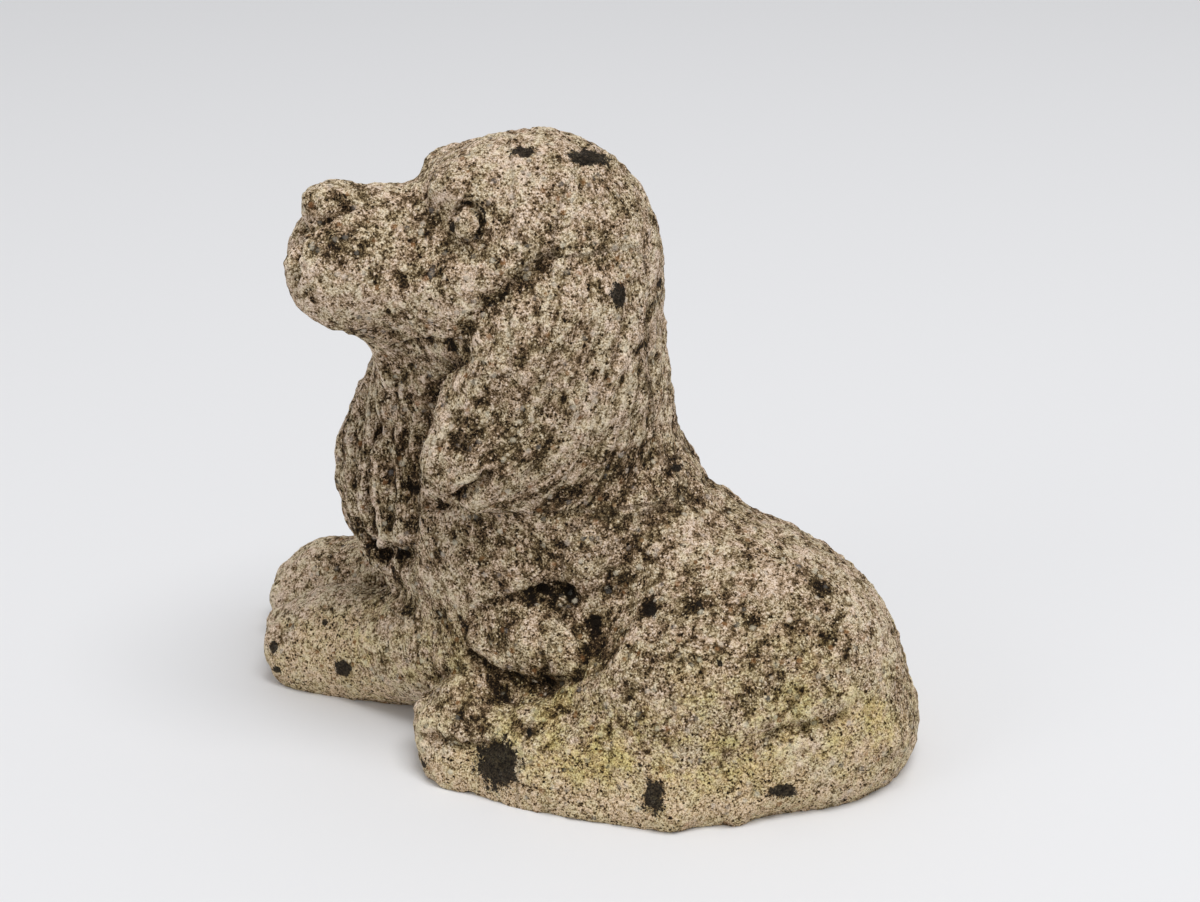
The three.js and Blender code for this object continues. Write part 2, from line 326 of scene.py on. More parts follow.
# Grooves pressed in along lines of the photograph, and copied to the other side where it says so.
# name: other side, half width and depth in millimetres, pixels; a depth below 0 stands out
grooves = {
    "philtrum": (None, 1.5, 4.2, [
        (303, 232), (300, 244), (297, 256), (296, 266), (296, 278), (292, 288),
    ]),
    "nostril": ("head", 1.8, 2.7, [
        (301, 235), (311, 229), (322, 222), (331, 215), (341, 209), (350, 207),
    ]),
    "browTop": (None, 5.0, 1.2, [(452, 147), (464, 145)]),
    "cheekFold": ("head", 3.6, 1.3, [(380, 272), (408, 279), (434, 270)]),
    "earRoot": ("head", 3.2, 3.8, [
        (552, 257), (529, 276), (507, 290), (486, 306), (471, 324), (458, 346),
    ]),
    "underJaw": ("head", 2.8, 3.6, [(396, 349), (412, 346), (434, 345), (458, 348)]),
    "earFront": (None, 3.2, 4.2, [
        (461, 354), (439, 381), (427, 410), (421, 440), (418, 465), (413, 492), (411, 519),
        (408, 546),
    ]),
    "earLowerFold": ("head", 2.6, 5.0, [
        (423, 505), (440, 504), (456, 499), (471, 492), (487, 478),
    ]),
    "earFold": ("head", 2.4, 1.6, [(455, 452), (472, 436), (490, 428), (508, 408)]),
    "chestEdge": (None, 2.2, 2.2, [
        (366, 388), (355, 416), (351, 441), (350, 466), (354, 494), (356, 516),
    ]),
    "chestLock": (None, 1.8, 4.0, [
        (377, 425), (368, 450), (366, 474), (368, 498), (369, 520), (373, 538),
    ]),
    "chestLockMiddle": (None, 1.5, 2.6, [
        (398, 372), (391, 410), (387, 450), (392, 490), (387, 528),
    ]),
    "chestLockBack": (None, 1.4, 2.2, [(410, 396), (405, 440), (400, 478), (401, 520)]),
    "chestFoot": (None, 3.8, 7.0, [
        (354, 524), (364, 540), (373, 550), (381, 561), (390, 554), (398, 562), (408, 551),
    ]),
    "forelegCrease": ("body", 2.2, 1.3, [(410, 550), (411, 575), (426, 601), (437, 618)]),
    "elbowFront": ("body", 2.0, 1.2, [(466, 652), (463, 638), (468, 624), (480, 611)]),
    "elbowTop": ("body", 2.2, 2.4, [(480, 611), (497, 602), (520, 598), (545, 601), (567, 614)]),
    "elbowNook": ("body", 3.4, 5.4, [(538, 592), (552, 589), (568, 594)]),
    "elbowBack": ("body", 2.6, 3.4, [(567, 614), (581, 636), (585, 655), (579, 672)]),
    "elbowNotch": ("body", 1.6, 1.8, [(486, 668), (497, 655), (503, 641)]),
    "elbowNotchBack": ("body", 1.5, 1.6, [(540, 684), (546, 668), (541, 655)]),
    "kneeTop": ("body", 1.7, 2.0, [(417, 700), (430, 682), (448, 671), (474, 668), (497, 678)]),
    "elbowUnder": ("body", 2.2, 4.0, [
        (468, 653), (486, 668), (507, 677), (530, 686), (552, 685), (574, 676),
    ]),
    "flankCrease": ("body", 6.5, 2.6, [
        (590, 646), (600, 622), (612, 596), (624, 568), (641, 540), (662, 516), (692, 497),
    ]),
    "toeLedge": ("body", 1.9, 3.0, [
        (416, 737), (430, 739), (444, 742), (459, 749), (480, 745), (498, 743),
    ]),
    "knuckleBack": ("body", 3.4, 1.9, [(497, 684), (511, 700), (510, 722), (497, 741)]),
    "tailTop": (None, 2.0, 3.4, [
        (846, 719), (830, 722), (813, 726), (798, 729), (784, 732), (768, 738),
    ]),
    "baseEdge": (None, 9.0, -3.4, [
        (440, 776), (480, 788), (520, 797), (560, 807), (600, 815), (640, 819), (668, 821),
    ]),
    "tailFront": (None, 4.0, 1.6, [(768, 738), (746, 747), (725, 759), (712, 770)]),
}
# name: other side, radius and depth in millimetres, pixel; a depth below 0 stands out
pits = {
    "nostrilHole": ("head", 1.9, 1.6, (331, 215)),
    "nostrilFront": ("head", 1.8, 2.2, (314, 209)),
    "pitBehindElbow": ("body", 3.6, 2.8, (596, 619)),
    "pitUnderElbow": ("body", 3.0, 2.4, (549, 681)),
    "pitByFlank": ("body", 2.8, 2.6, (576, 676)),
    "nookUnderChest": (None, 4.0, 3.0, (405, 549)),
    "chipOnHaunch": (None, 2.2, 1.1, (787, 697)),
    "hollowBehindBrow": ("head", 7.0, 0.8, (430, 205)),
    "backOfHead": (None, 20.0, -1.4, (648, 232)),
    "nape": (None, 20.0, 1.8, (664, 372)),
    "rumpTop": (None, 26.0, 1.5, (800, 540)),
    "chestBottom": (None, 6.0, 2.2, (352, 512)),
    "stop": (None, 9.0, 1.2, (410, 178)),
    "bridge": (None, 8.0, 0.8, (385, 186)),
    "padTip": (None, 8.0, -1.7, (307, 201)),
    "farFlew": (None, 9.0, -2.0, (291, 262)),
    "throat": (None, 7.0, -3.2, (380, 351)),
    "farPaw": (None, 9.0, -2.0, (276, 600)),
    "forehead": (None, 14.0, -1.1, (502, 142)),
    "hindKnuckle": ("body", 10.0, -2.4, (468, 702)),
    "thighRidge": ("body", 9.0, -1.2, (660, 560)),
    "thighRidgeTop": ("body", 9.0, -1.2, (690, 532)),
    "elbowTuft": ("body", 8.0, -0.9, (520, 636)),
    "knee": ("body", 8.0, -4.0, (456, 686)),
    "betweenForelegs": (None, 15.0, -4.5, (346, 594)),
    "tail": (None, 9.0, -1.0, (815, 745)),
}
carved = np.zeros(count)
raised = np.zeros(count)
strays = {"most": 0.9, "size": 5.0}  # millimetres that a groove's edge strays
wander = strays["most"] * noiseAt(places / strays["size"] + 23.0)


# The deepest groove counts where two cross, and the highest rise.
def press(depth, away):
    deepest = np.maximum if depth > 0 else np.minimum
    target = carved if depth > 0 else raised
    target[:] = deepest(target, depth * np.exp(-(away ** 2)))


for name, (part, width, depth, pixels) in grooves.items():
    line = [seenAt(pixel) for pixel in pixels]
    missed = [pixel for pixel, point in zip(pixels, line) if point is None]
    if missed:
        print("off the dog:", name, missed)
    line = [point for point in line if point is not None]
    lines = [line] + ([[otherSide(point, part) for point in line]] if part else [])
    for each in lines:
        away = np.maximum(distanceToLine(places, each) + wander, 0)
        press(depth, away / width)
for name, (part, width, depth, pixel) in pits.items():
    point = seenAt(pixel)
    for each in bothSides(point, part):
        press(depth, np.linalg.norm(places - each, axis=1) / width)
normals = readNormals()

# The eyes: a ball inside a sharp ring, with a lid that stands out above it.
eye = {
    "pixel": (466, 223),
    "halfWide": 6.0,  # millimetres
    "halfTall": 7.8,
    "ringDepth": 3.0,
    "ringWidth": 0.75,
    "ballHeight": 1.1,
    "ballShare": 0.92,  # of the ring's radius
    "lidHeight": 1.3,
    "lidWidth": 1.5,
    "lidPlace": 1.33,  # in the ring's radii
    "meanHalf": 6.4,
    "reach": 16,
}
eyeMiddle = seenAt(eye["pixel"])
for middle in bothSides(eyeMiddle, "head"):
    facing = np.array(tree.find_nearest(Vector(middle) * millimetre)[1])
    level = np.cross([0, 0, 1], facing)
    level /= np.linalg.norm(level)
    if level @ headMatrix.to_3x3().col[1] < 0:
        level = -level  # towards the back of the head
    rise = np.cross(facing, level)
    rise *= np.sign(rise[2])
    away = places - middle
    sideways, upwards = away @ level, away @ rise
    radius = np.hypot(sideways / eye["halfWide"], upwards / eye["halfTall"])
    close = np.linalg.norm(away, axis=1) < eye["reach"]
    upper = 0.5 + 0.5 * np.clip((0.8 * upwards + 0.6 * sideways) / 5, -1, 1)
    ring = np.exp(-(((radius - 1) * eye["meanHalf"] / eye["ringWidth"]) ** 2))
    ball = np.clip(1 - (radius / eye["ballShare"]) ** 2, 0, 1) ** 0.5
    lid = np.exp(-(((radius - eye["lidPlace"]) * eye["meanHalf"] / eye["lidWidth"]) ** 2))
    lid *= np.clip((0.85 * upwards + 0.5 * sideways) / 4, 0, 1)
    carved += close * (
        upper * ring * eye["ringDepth"] - ball * eye["ballHeight"] - lid * eye["lidHeight"]
    )
places -= normals * (carved + raised)[:, None]
writePlaces(places)
print("creases, pits and eyes carved")
tree = skinTree()


patchEdge = {"uneven": 0.3, "size": 4.5}  # a share of the patch's radius, and millimetres
uneven = patchEdge["uneven"] * noiseAt(places / patchEdge["size"] + 7.7)


# A soft patch around a place: 1 in its middle, 0 beyond its radius, with an uneven edge.
def patch(pixel, radius, part):
    point = seenAt(pixel)
    if point is None:
        print("patch off the dog:", pixel)
        return np.zeros(count)
    found = np.zeros(count)
    for each in bothSides(point, part):
        away = np.maximum(np.linalg.norm(places - each, axis=1) / radius + uneven, 0)
        found = np.maximum(found, np.clip(1 - away * away, 0, 1) ** 2)
    return found


# 0 up to low, 1 from high on, smooth between.
def ramp(values, low, high):
    share = np.clip((values - low) / (high - low), 0, 1)
    return share * share * (3 - 2 * share)


# Where the hair lies: its own coordinates run across the strands, along them and in depth.
hair = {  # millimetres
    "earCurl": (-115.0, 13.0),  # centre of the ear strands' curve, back and up from the head's
    "strandWidth": 2.6,
    "strandLength": 9.0,
    "sloping": (0, 0.5, -0.866),  # the way the strands run on the flanks
    "thigh": (0, -0.45, -0.893),
}
# The parts of the coat, from 0 to 1, by their limits in millimetres.
local = inHead(places)
xs, ys, zs = places.T
isFace = ramp(-local[:, 1], -2, 22) * ramp(local[:, 2], -40, -25)
isEar = (
    ramp(np.abs(local[:, 0]), 24, 30) * ramp(-local[:, 2], -25, 5)
    * ramp(local[:, 2], -92, -84) * ramp(local[:, 1], -62, -54)
)
isEar *= 1 - 0.9 * isFace
isChest = ramp(-ys, 38, 55) * ramp(zs, 42, 60) * (1 - ramp(zs, 170, 190))
isChest *= 1 - ramp(np.abs(xs - 14), 34, 48)
isNeck = ramp(zs, 118, 140) * (1 - isFace) * (1 - isEar)
isPaw = ramp(-ys, 72, 92) * (1 - ramp(zs, 44, 60))
isFoot = ramp(np.abs(xs), 52, 62) * (1 - ramp(zs, 26, 36)) * ramp(-ys, -30, -5)
isHaunch = ramp(ys, 10, 40) * (1 - ramp(zs, 95, 125))

# Upright locks on the chest and neck.
across = np.where(ys < 20, xs, ys)
upright = np.stack([across, zs + 4 * np.sin(across / 6), np.where(ys < 20, ys, xs)], 1)


# Strands that run one way over the dog's side.
def running(way):
    along = np.array(way)
    return np.stack([places @ np.cross([1, 0, 0], along), places @ along, xs], 1)


# Wavy strands round the ear's curve.
curlY = local[:, 1] - hair["earCurl"][0]
curlZ = local[:, 2] - hair["earCurl"][1]
curling = np.stack([
    np.hypot(curlY, curlZ) + 2.5 * np.sin(np.arctan2(curlZ, curlY) * 14),
    np.arctan2(curlZ, curlY) * 75,
    local[:, 0],
], 1)
flow = running(hair["sloping"])
onThigh = isHaunch > 0.5
# The offsets keep the parts from repeating one another's strands.
flow[onThigh] = running(hair["thigh"])[onThigh] - 300
useUpright = (isChest > 0.3) | (isNeck > 0.3)
flow[useUpright] = upright[useUpright]
flow[isEar > 0.2] = curling[isEar > 0.2] + 400
flow *= np.array([1 / hair["strandWidth"], 1 / hair["strandLength"], 1 / hair["strandWidth"]])


relief = {
    "chest": 2.1,  # millimetres
    "ear": 1.05,
    "neck": 0.8,
    "haunch": 0.42,
    "rest": 0.5,
    "face": 0.3,
    "paw": 0.14,
    "curls": 1.8,
    "lumps": 1.0,
    "grain": 0.65,
    "chunks": 0.75,
    "sink": 0.25,  # keeps the mean of the relief on the skin
    # shares by which the stone is smoother there
    "calm": {"paw": 0.4, "edge": 0.45, "chest": 0.6, "face": 0.6},
}
broad = np.abs(noiseAt(flow * [0.36, 0.4, 0.36]))
narrow = np.abs(noiseAt(flow * [0.85, 0.8, 0.85] + 31.7))
strands = 1.9 * broad + 0.9 * narrow - 0.62
lumps = noiseAt(places / 9.0) * 0.6 + noiseAt(places / 4.6 + 11.3) * 0.5
grains = noiseAt(places / 2.7 + 5.1)
strength = (
    relief["rest"] + (relief["haunch"] - relief["rest"]) * isHaunch
    + (relief["neck"] - relief["rest"]) * isNeck * (1 - isHaunch)
)
strength = strength * (1 - isChest) + relief["chest"] * isChest
strength = strength * (1 - isEar) + relief["ear"] * isEar
quiet = np.clip(isFace + isPaw + 0.8 * isFoot, 0, 1)
strength = strength * (1 - quiet) + (relief["face"] * isFace + relief["paw"] * isPaw) * quiet
lowEdge = 1 - ramp(zs, 8, 26)
calm = relief["calm"]
roughness = (1 - calm["paw"] * isPaw) * (1 - calm["edge"] * lowEdge)
curls = 0.42 - np.abs(noiseAt(flow * [0.5, 0.95, 0.5] + 47.0)) * 1.5
height = strength * strands + relief["curls"] * isEar * curls
roughness *= 1 - calm["chest"] * isChest
height += relief["lumps"] * lumps * roughness + relief["grain"] * grains * roughness
chunks = 0.3 - np.abs(noiseAt(places / 6.3 + 61.0)) * 1.6
height += relief["chunks"] * chunks * roughness * (1 - calm["face"] * isFace)
normals = readNormals()
places += normals * (height - relief["sink"])[:, None]

# The cast edge along the floor is worn and uneven.
edgeWear = {"height": 7.0, "depth": 1.6}
nearFloor = np.clip(1 - zs / edgeWear["height"], 0, 1)
inward = -normals * [1, 1, 0]
bites = np.clip(noiseAt(places / 7.0 + 70) * 1.6 + 0.1, 0, 1) + 0.6 * np.abs(lumps)
places += inward * (nearFloor * bites * edgeWear["depth"])[:, None]

# Small round pits scattered over the rough stone.
scatter = {
    "seed": 7,
    "pits": 640,
    "radius": (1.5, 2.9),  # millimetres
    "depth": (0.6, 1.6),
    "reach": 1.6,  # in radii
    "steepness": 2,
}
randomly = random.Random(scatter["seed"])
near = kdtree.KDTree(count)
for index, place in enumerate(places):
    near.insert(place, index)
near.balance()
for _ in range(scatter["pits"]):
    centre = places[randomly.randrange(count)]
    radius = randomly.uniform(*scatter["radius"])
    depth = randomly.uniform(*scatter["depth"])
    for _, index, away in near.find_range(centre, radius * scatter["reach"]):
        share = math.exp(-((away / radius) ** 2) * scatter["steepness"])
        places[index] -= normals[index] * depth * share

places[onFloor, 2] = 0
places[:, 2] = np.maximum(places[:, 2], 0)
places = np.clip(places, np.array(boxLow) / millimetre, np.array(boxHigh) / millimetre)
writePlaces(places)
print("hair, grain and pits carved")


# Weathering and painted shade, kept on the mesh for the stone's colours.
tree = skinTree()
normals = readNormals()


# How far a point lies below its surroundings: 1 at the given depth in millimetres.
def below(passes, depth):
    return np.clip(((eased(places, passes) - places) * normals).sum(1) / depth, -1, 1)


weatheringAndShade = {
    "hollow": (10, 1.1),  # passes of easing, depth
    "deepHollow": (60, 3.0),
    # shares of the dirt, with its painted shade, and of the algae
    "broad": 0.35,
    "mottled": 0.65,
    "inHollows": 0.3,
    "inDeepHollows": 0.45,
    "offPaleAndLitPatches": 0.9,
    "offLowEdge": 0.35,
    "lowAlgae": 0.45,
    "algaeOffPaws": 0.8,
    "algaeOffLowEdge": 0.95,
}
hollow = below(*weatheringAndShade["hollow"])
deepHollow = below(*weatheringAndShade["deepHollow"])
# pixel, radius in millimetres, strength, other side
# Dark patches: real dirt, and painted shade on the chest, under it and by the elbow.
dirtAndShadePatches = [
    ((620, 490), 46, 0.68, "body"), ((560, 545), 36, 0.6, "body"), ((690, 478), 30, 0.25, "body"),
    ((470, 545), 28, 0.2, "body"), ((372, 470), 34, 0.35, None), ((474, 708), 17, 1.5, "body"),
    ((482, 186), 15, 0.55, "head"), ((430, 275), 20, 0.35, "head"), ((350, 300), 18, 0.25, None),
    ((600, 640), 24, 0.5, "body"), ((640, 700), 16, 0.4, None), ((560, 330), 34, 0.3, "head"),
    ((500, 290), 20, 0.5, "head"), ((520, 430), 34, 0.35, "head"), ((596, 250), 24, 0.3, None),
    ((640, 330), 34, 0.3, None),
    ((728, 492), 30, 0.2, None), ((820, 590), 14, 0.45, None), ((338, 208), 12, 0.4, "head"),
    ((660, 400), 30, 0.1, None), ((700, 625), 34, 0.4, "body"), ((810, 620), 30, 0.45, None),
    ((330, 235), 26, 0.5, "head"), ((620, 560), 34, 0.5, "body"),
    ((540, 582), 14, 0.5, "body"), ((354, 500), 14, 0.5, None),
    ((520, 640), 20, 0.5, "body"), ((350, 600), 24, 0.3, None), ((600, 520), 40, 0.12, "body"),
    ((650, 608), 7, 3.0, "body"), ((697, 606), 5.5, 3.0, None), ((822, 584), 7, 2.4, None),
    ((826, 640), 6, 2.4, None), ((529, 731), 6, 2.2, None), ((752, 622), 6, 2.2, None),
    ((618, 650), 14, 1.0, None), ((640, 668), 10, 0.8, None), ((748, 690), 5, 1.6, None),
    ((430, 228), 8, 1.0, "head"), ((345, 330), 9, 0.8, "head"), ((415, 262), 9, 0.7, "head"),
]
# Painted shade in the deep nooks round the elbow, under the chest and under the ear and jaw, with
# some black staining.
nookShadePatches = [
    ((548, 591), 8, 0.65, "body"), ((568, 595), 9, 0.65, "body"), ((594, 624), 8, 0.6, "body"),
    ((528, 596), 7, 0.5, "body"), ((508, 600), 6, 0.4, "body"),
    ((354, 525), 9, 0.8, None), ((370, 548), 8, 0.9, None), ((384, 556), 8, 0.9, None),
    ((402, 550), 7, 0.9, None), ((445, 504), 7, 0.7, "head"), ((462, 497), 6, 0.6, "head"),
    ((577, 676), 6, 0.6, "body"), ((548, 684), 5, 0.5, "body"), ((452, 345), 7, 0.5, "head"),
]
# Patches that lighten the stone: paler stone, and painted light where the lamps leave parts too
# dark, as on the far paw.
paleAndLitPatches = [
    ((704, 548), 18, 0.3, None), ((520, 185), 32, 0.45, None), ((880, 650), 30, 0.1, None),
    ((320, 655), 38, 0.8, "body"), ((430, 600), 22, 0.2, None), ((305, 275), 14, 0.35, "head"),
    ((460, 275), 18, 0.3, "head"), ((560, 215), 20, 0.3, "head"), ((660, 800), 34, 0.6, "body"),
    ((500, 790), 24, 0.5, "body"), ((820, 770), 34, 0.5, "body"), ((620, 350), 24, 0.25, None),
    ((648, 468), 9, 0.6, None), ((296, 585), 26, 0.6, None), ((330, 318), 14, 0.4, "head"),
    ((450, 310), 14, 0.35, "head"),
]
algaePatches = [
    ((590, 745), 56, 0.9, "body"), ((540, 725), 32, 0.7, "body"), ((710, 730), 46, 0.8, "body"),
    ((800, 690), 38, 0.8, "body"), ((870, 710), 30, 0.6, None), ((440, 640), 26, 0.6, "body"),
    ((372, 616), 16, 0.3, None), ((760, 640), 24, 0.3, None), ((412, 660), 16, 0.4, None),
]
# pixel, half width and half height in millimetres
lichenSpots = [
    ((498, 763), 9.2, 10.5), ((653, 797), 4.2, 7.0), ((782, 791), 5.6, 2.8), ((343, 668), 4.3, 4.6),
    ((588, 157), 8.0, 3.6), ((522, 152), 4.6, 2.6), ((618, 294), 3.2, 4.4), ((273, 649), 2.0, 3.6),
    ((276, 669), 2.0, 1.6), ((325, 622), 1.2, 1.6), ((653, 611), 1.3, 2.6), ((700, 605), 1.0, 0.9),
    ((720, 663), 1.1, 1.1), ((676, 468), 2.6, 1.8), ((529, 731), 1.2, 2.2),
    ((424, 764), 1.8, 1.4), ((640, 765), 1.2, 1.0), ((489, 788), 1.4, 1.2),
]


def gathered(patches):
    found = np.zeros(count)
    for pixel, radius, strength, part in patches:
        found = np.maximum(found, strength * patch(pixel, radius, part))
    return found


cameraUp = camera.matrix_world.to_3x3() @ Vector((0, 1, 0))
cameraRight = camera.matrix_world.to_3x3() @ Vector((1, 0, 0))
lichen = np.zeros(count)
for pixel, wide, tall in lichenSpots:
    point = seenAt(pixel)
    if point is None:
        print("lichen off the dog:", pixel)
        continue
    away = places - point
    sides = np.hypot(away @ np.array(cameraRight) / wide, away @ np.array(cameraUp) / tall)
    deep = np.linalg.norm(away, axis=1) / (2 * max(wide, tall))
    lichen = np.maximum(lichen, np.clip(1.5 - np.maximum(sides, deep), 0, 1.5))
# A few more on the sides that the photograph doesn't show.
hiddenLichen = {"draws": 16, "radius": (1.6, 5.5), "mostLeft": 10, "lowest": 6}  # millimetres
for _ in range(hiddenLichen["draws"]):
    centre = places[randomly.randrange(count)]
    radius = randomly.uniform(*hiddenLichen["radius"])
    randomly.randrange(count)  # a spare draw, so that the later spots stay where they are
    if centre[0] < hiddenLichen["mostLeft"] and centre[2] > hiddenLichen["lowest"]:
        away = np.linalg.norm((places - centre) * [1, 1, 1.2], axis=1) / radius
        lichen = np.maximum(lichen, np.clip(1.5 - away, 0, 1.5))

# Black painted shade in the corner of the eye and under the lid, and dark marks on the ball, kept
# with the lichen.
# half width in millimetres, pixels
eyeShadeLines = [
    (1.3, [(452, 224), (453, 229)]), (0.5, [(471, 209), (476, 213), (478, 218)]),
    (0.4, [(461, 211), (460, 216)]), (0.75, [(463, 203), (470, 202), (477, 205)]),
    (0.6, [(480, 207), (485, 213), (485, 221)]), (0.5, [(476, 235), (478, 238)]),
]
for halfWidth, pixels in eyeShadeLines:
    points = [seenAt(pixel) for pixel in pixels]
    for each in [points, [otherSide(point, "head") for point in points]]:
        lichen = np.maximum(lichen, np.clip(1.5 - distanceToLine(places, each) / halfWidth, 0, 1.5))

broadDirt = noiseAt(places / 30.0 + 3.3)
mottles = noiseAt(places / 11.0 + 83.0) + 0.5 * noiseAt(places / 6.0 + 12.0)
dirt = gathered(dirtAndShadePatches) + weatheringAndShade["broad"] * np.clip(broadDirt, -0.4, 1)
dirt += weatheringAndShade["mottled"] * np.clip(mottles, -0.6, 1)
# Darker in hollows and deep hollows: painted shade in recesses.
dirt += (
    weatheringAndShade["inHollows"] * np.clip(hollow, -0.3, 1)
    + weatheringAndShade["inDeepHollows"] * np.clip(deepHollow, -0.25, 1)
)
# Lighter on the pale and lit patches, partly painted light, and along the low edge.
dirt -= (
    weatheringAndShade["offPaleAndLitPatches"] * gathered(paleAndLitPatches)
    + weatheringAndShade["offLowEdge"] * lowEdge * (zs > 0.5)
)
dirt = np.clip(eased(dirt, 2), -1, 2.8)
algae = weatheringAndShade["lowAlgae"] * (1 - ramp(zs, 30, 70)) * (1 - weatheringAndShade["algaeOffPaws"] * isPaw)
algae = (gathered(algaePatches) + algae) * (1 - weatheringAndShade["algaeOffLowEdge"] * lowEdge)
cleanPatches = [
    ((322, 662), 42, 1.0, "body"), ((860, 730), 34, 0.8, None), ((640, 810), 40, 1.0, "body"),
    ((480, 786), 28, 0.8, "body"), ((760, 790), 40, 0.9, "body"), ((570, 780), 30, 0.9, "body"),
    ((700, 735), 26, 0.6, "body"),
]
clean = np.clip(gathered(cleanPatches) * (1 - ramp(zs, 36, 54)) + 0.55 * lowEdge, 0, 1)


def keep(name, values):
    kind, field = ("FLOAT_VECTOR", "vector") if values.ndim == 2 else ("FLOAT", "value")
    layer = skin.attributes.new(name, kind, "POINT")
    layer.data.foreach_set(field, values.astype(np.float32).ravel())


keep("hairPlace", flow)
# The dirt, with the painted shade on the chest and in the hollows.
keep("dirt", dirt)
keep("algae", np.clip(algae, 0, 1))
# The painted shade in the nooks.
keep("nook", gathered(nookShadePatches))
# The lichen, with the black painted shade in the eyes.
keep("lichen", lichen)
keep("clean", clean)
# How hollow each point is; the shader paints shade in hollows from it.
keep("hollow", np.clip(0.5 + 0.5 * hollow, 0, 1))
keep("hairy", np.clip(strength / relief["chest"] + 0.3 * isPaw, 0, 1))
keep("streaky", np.clip(0.5 + 0.5 * isChest + 0.2 * isEar - 0.7 * quiet - 0.2 * isNeck, 0, 1))
print("weathering kept")


# A shader value. Sums and products with wires and numbers add their Math nodes.
class Wire:
    def __init__(self, tree, socket=None):
        self.tree = tree
        self.socket = socket

    def node(self, kind, settings=None, values=None, out=0):
        made = self.tree.nodes.new(kind)
        for name, value in (settings or {}).items():
            if name == "stops":
                while len(made.color_ramp.elements) < len(value):
                    made.color_ramp.elements.new(0.5)
                for element, (place, colour) in zip(made.color_ramp.elements, value):
                    element.position = place
                    element.color = (*colour, 1)
            else:
                setattr(made, name, value)
        for name, value in (values or {}).items():
            if isinstance(value, Wire):
                self.tree.links.new(value.socket, made.inputs[name])
            else:
                made.inputs[name].default_value = value
        return Wire(self.tree, made.outputs[out])

    def maths(self, operation, first, second):
        return self.node("ShaderNodeMath", {"operation": operation}, {0: first, 1: second})

    def __add__(self, other):
        return self.maths("ADD", self, other)

    __radd__ = __add__

    def __sub__(self, other):
        return self.maths("SUBTRACT", self, other)

    def __rsub__(self, other):
        return self.maths("SUBTRACT", other, self)

    def __mul__(self, other):
        return self.maths("MULTIPLY", self, other)

    __rmul__ = __mul__

    # 0 up to low, 1 from high on, smooth between.
    def between(self, low, high):
        return self.node(
            "ShaderNodeMapRange", {"interpolation_type": "SMOOTHSTEP"},
            {"Value": self, "From Min": low, "From Max": high},
        )

    def noise(self, place, size, detail=2.0, roughness=0.55):
        return self.node(
            "ShaderNodeTexNoise", {},
            {"Vector": place, "Scale": 1 / size, "Detail": detail, "Roughness": roughness},
        )

    # Cells like packed grains: distance from the middle, and two chance values of each grain.
    def cells(self, place, size):
        distance = self.node("ShaderNodeTexVoronoi", {}, {"Vector": place, "Scale": 1 / size})
        tint = Wire(self.tree, distance.socket.node.outputs["Color"])
        chance = self.node("ShaderNodeSeparateColor", {}, {"Color": tint})
        return distance, chance, Wire(self.tree, chance.socket.node.outputs["Green"])

    def mixed(self, factor, first, second, blend="MIX"):
        return self.node(
            "ShaderNodeMix", {"data_type": "RGBA", "blend_type": blend},
            {0: factor, 6: first, 7: second}, out=2,
        )

    def kept(self, name, out="Fac"):
        return self.node("ShaderNodeAttribute", {"attribute_name": name}, out=out)


stone = {
    "strand": 0.62,  # in strands of the hair
    "lock": 1.9,
    "fineSpeckle": 0.0007,  # metres
    "speckle": 0.0015,
    "grain": 0.0013,
    "pebble": 0.0029,
    "pit": 0.0024,
    "mottle": 0.0046,
    "blotch": 0.013,
    "broadBlotch": 0.045,
    # place on the ramp, colour
    "tones": [
        (0.12, (0.010, 0.006, 0.003)), (0.27, (0.050, 0.031, 0.014)), (0.40, (0.162, 0.108, 0.053)),
        (0.50, (0.365, 0.270, 0.162)), (0.61, (0.650, 0.510, 0.358)), (0.78, (0.980, 0.840, 0.680)),
    ],
    "cleanTones": [
        (0.14, (0.020, 0.013, 0.007)), (0.29, (0.135, 0.090, 0.045)), (0.40, (0.400, 0.290, 0.155)),
        (0.55, (0.640, 0.488, 0.290)), (0.74, (0.950, 0.795, 0.575)),
    ],
    "tint": 0.007,
    "olive": (0.96, 0.965, 0.885, 1),
    "rose": (1.0, 0.94, 0.93, 1),
    "lichen": (0.017, 0.013, 0.009, 1),
    "algae": (0.86, 0.88, 0.40, 1),
    "rust": (0.34, 0.17, 0.07, 1),
    "paleGrain": (0.78, 0.70, 0.58, 1),
    "greyGrain": (0.24, 0.225, 0.21, 1),
    # shares of the tone
    "grainShare": 0.62,
    "fineShare": 1.0,
    "speckleShare": 0.8,
    "pebbleShare": 0.32,
    "blotchShare": 0.42,
    "broadShare": 0.25,
    "crustDark": 0.24,
    "pitShade": 0.24,
    "dirtAndShadeDark": 0.11,
    "nookShadeDark": 0.3,
    "hollowShade": 0.16,
    "weatheredLift": 0.118,
    "cleanContrast": 1.4,
    "cleanLift": -0.106,
    # strength of the tinted grains and of the algae
    "paleShare": 0.7,
    "greyShare": 0.55,
    "rustShare": 0.6,
    "algaeShare": 0.6,
    "bumpStrength": 0.9,
    "bumpDepth": 0.0016,  # metres
    "roughness": 0.9,
    "specular": 0.15,
}


